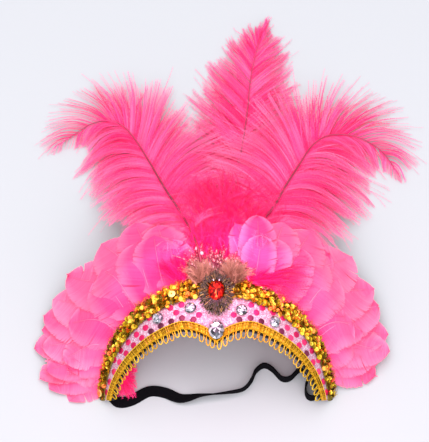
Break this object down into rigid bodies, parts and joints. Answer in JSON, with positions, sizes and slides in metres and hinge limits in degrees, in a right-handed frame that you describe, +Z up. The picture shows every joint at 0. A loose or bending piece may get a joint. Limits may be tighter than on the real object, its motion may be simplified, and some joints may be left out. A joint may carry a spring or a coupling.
{
  "type": "carnival feather headdress",
  "caption": "Pink feather headdress on a curved crescent band, with ostrich plumes, a goose feather fan, gold sequin braid, glass stones and an elastic strap, lying on its back.",
  "frame": {"origin": "middle of the bounding box's base, on the table that the headdress lies on", "axes": "+Z up from the table, +Y from the ends of the band towards the tips of the plumes, +X towards the wearer's left"},
  "size_m": [0.3306, 0.3796, 0.0814],
  "materials": {
    "black_felt": "soft black padded felt",
    "elastic": "woven black elastic",
    "pink_cloth": "pale pink glitter cloth with pink and wine foil dots",
    "gold_sequins": "overlapping gold cup sequins",
    "gold_thread": "gold metallic gimp cord and loops",
    "clear_stone": "faceted, foil backed",
    "red_stone": "faceted, foil backed",
    "seed_beads": "olive and bronze bugle and seed beads",
    "ostrich": "dyed ostrich barbs, pink to deep pink",
    "goose": "dyed goose vanes, soft sheen",
    "marabou": "hot pink fluffy down",
    "tan_down": "tan and spotted down"
  },
  "bodies": {
    "root": {"band_backing": "black_felt", "sequin_cloth": "pink_cloth", "round_stone_1": "clear_stone", "round_stone_2": "clear_stone", "round_stone_3": "clear_stone", "round_stone_4": "clear_stone", "oval_stone": "clear_stone", "sequin_braid": "gold_sequins", "loop_gimp": "gold_thread", "bead_ruff": "seed_beads", "centre_stone": "red_stone", "loose_sequin_1": "gold_sequins", "loose_sequin_2": "gold_sequins", "elastic_strap": "elastic", "inner_feather": "marabou", "goose_feather_left_1": "goose", "goose_feather_left_2": "goose", "goose_feather_left_3": "goose", "goose_feather_left_4": "goose", "goose_feather_left_5": "goose", "goose_feather_left_6": "goose", "goose_feather_left_7": "goose", "goose_feather_left_8": "goose", "goose_feather_left_9": "goose", "goose_feather_right_1": "goose", "goose_feather_right_2": "goose", "goose_feather_right_3": "goose", "goose_feather_right_4": "goose", "goose_feather_right_5": "goose", "goose_feather_right_6": "goose", "goose_feather_right_7": "goose", "goose_feather_right_8": "goose", "plume_centre": "ostrich", "plume_left": "ostrich", "plume_right": "ostrich", "tan_tuft_left": "tan_down", "tan_tuft_right": "tan_down", "spotted_tuft": "tan_down", "marabou_left": "marabou", "marabou_right": "marabou"}
  },
  "joints": []
}
